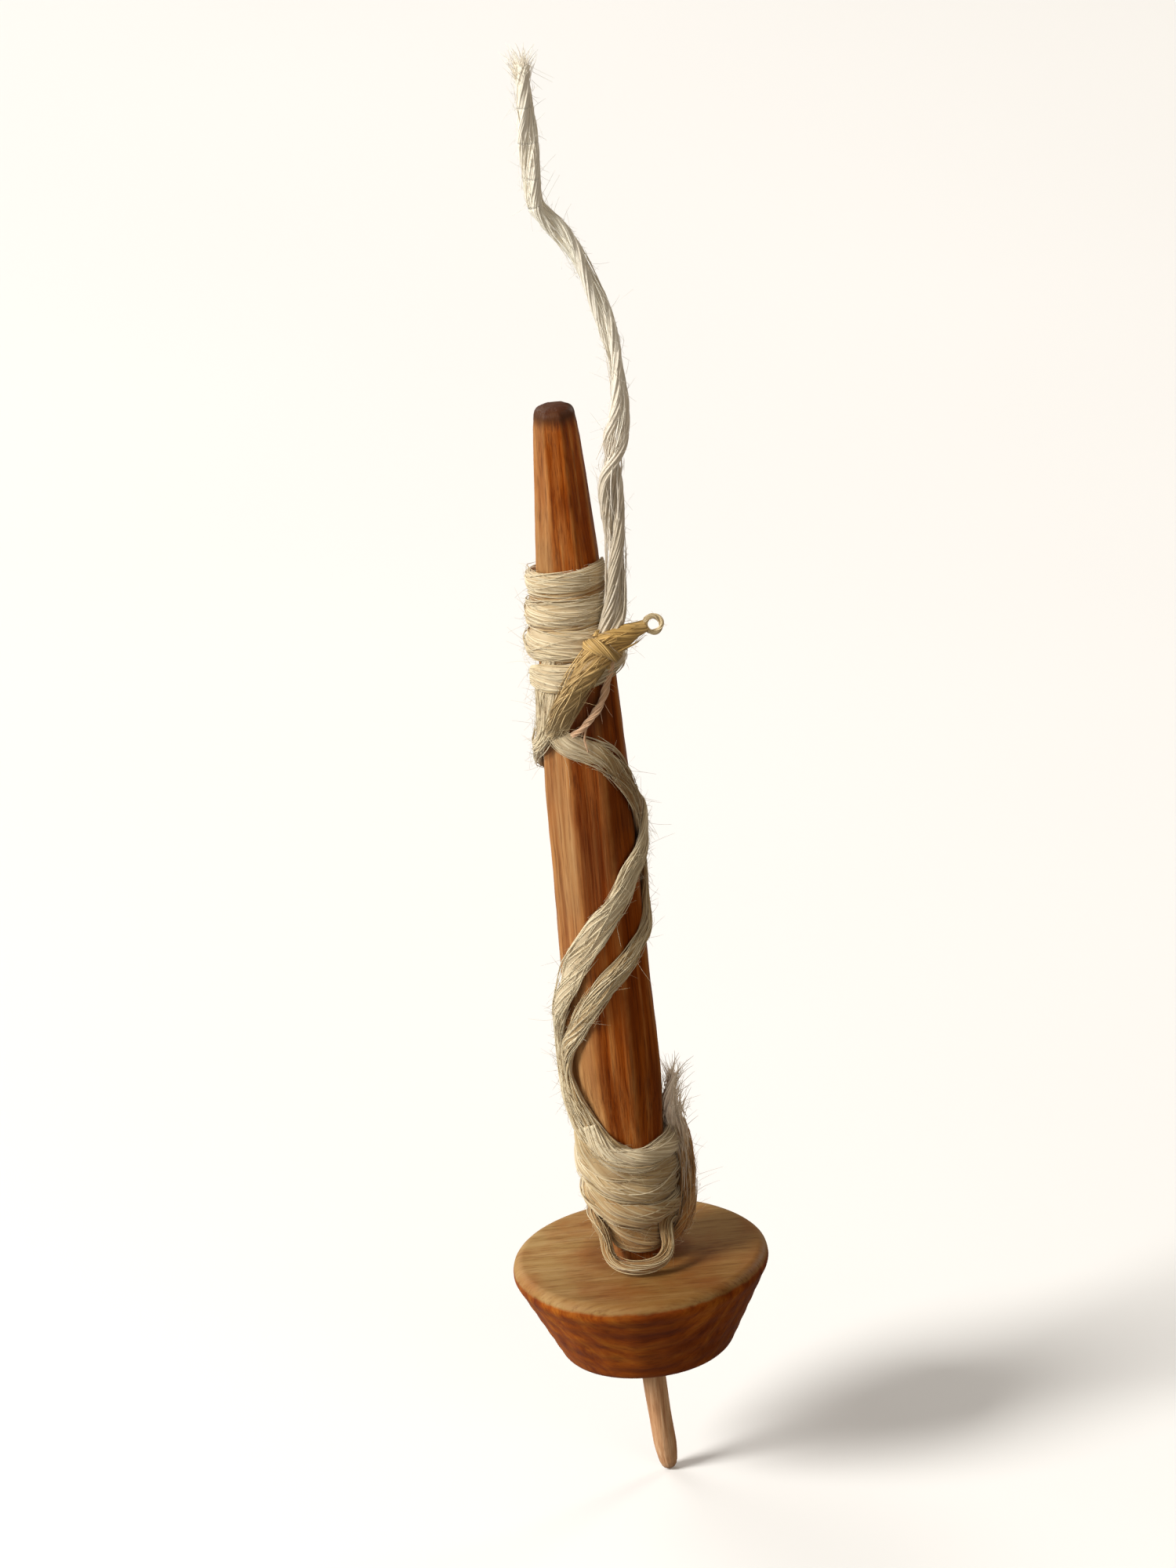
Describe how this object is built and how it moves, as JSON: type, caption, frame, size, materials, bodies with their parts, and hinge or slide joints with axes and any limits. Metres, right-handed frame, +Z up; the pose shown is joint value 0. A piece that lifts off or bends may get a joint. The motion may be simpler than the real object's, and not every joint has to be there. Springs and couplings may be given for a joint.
{
  "type": "drop spindle",
  "caption": "Miniature wooden drop spindle: whittled shaft, conical low whorl, peg tip, wound wool and a leader it hangs, swings and spins from.",
  "frame": {"origin": "centre of the whorl's underside on the shaft's axis", "axes": "+Z up along the shaft to its upper tip and the leader; +X to the viewer's right; -Y is the front"},
  "size_m": [0.0109, 0.0108, 0.0642],
  "materials": {
    "shaft_wood": "thin red-brown stain over knife-cut flats, satin",
    "whorl_wood": "sanded light brown face, darker stained side",
    "peg_wood": "bare split wood, matt",
    "wool_yarn": "undyed two-ply wool, slightly fuzzy",
    "leader_yarn": "undyed loosely twisted wool",
    "glued_yarn": "golden, stiffened with glue",
    "thin_thread": "thin twisted thread"
  },
  "bodies": {
    "held_end": {"leader_end": "leader_yarn"},
    "link": {"leader_link": "leader_yarn"},
    "upper_leader": {"leader_upper": "leader_yarn"},
    "spindle": {"shaft": "shaft_wood", "whorl": "whorl_wood", "tip_peg": "peg_wood", "cop_winding": "wool_yarn", "cop_tail": "wool_yarn", "riser_front": "wool_yarn", "riser_back": "wool_yarn", "hitch_winding": "wool_yarn", "hitch_stub": "glued_yarn", "binding_thread": "thin_thread", "leader_lower": "leader_yarn"}
  },
  "joints": [
    {"name": "swing_fore", "type": "hinge", "parent": "held_end", "child": "link", "pos_m": [0, 0, 0.0556], "axis": [1, 0, 0], "range_deg": [-30, 30]},
    {"name": "swing_side", "type": "hinge", "parent": "link", "child": "upper_leader", "pos_m": [0, 0, 0.0541], "axis": [0, 1, 0], "range_deg": [-30, 30]},
    {"name": "spindle_spin", "type": "hinge", "parent": "upper_leader", "child": "spindle", "pos_m": [0, 0, 0.0524], "axis": [0, 0, 1], "continuous": true}
  ]
}
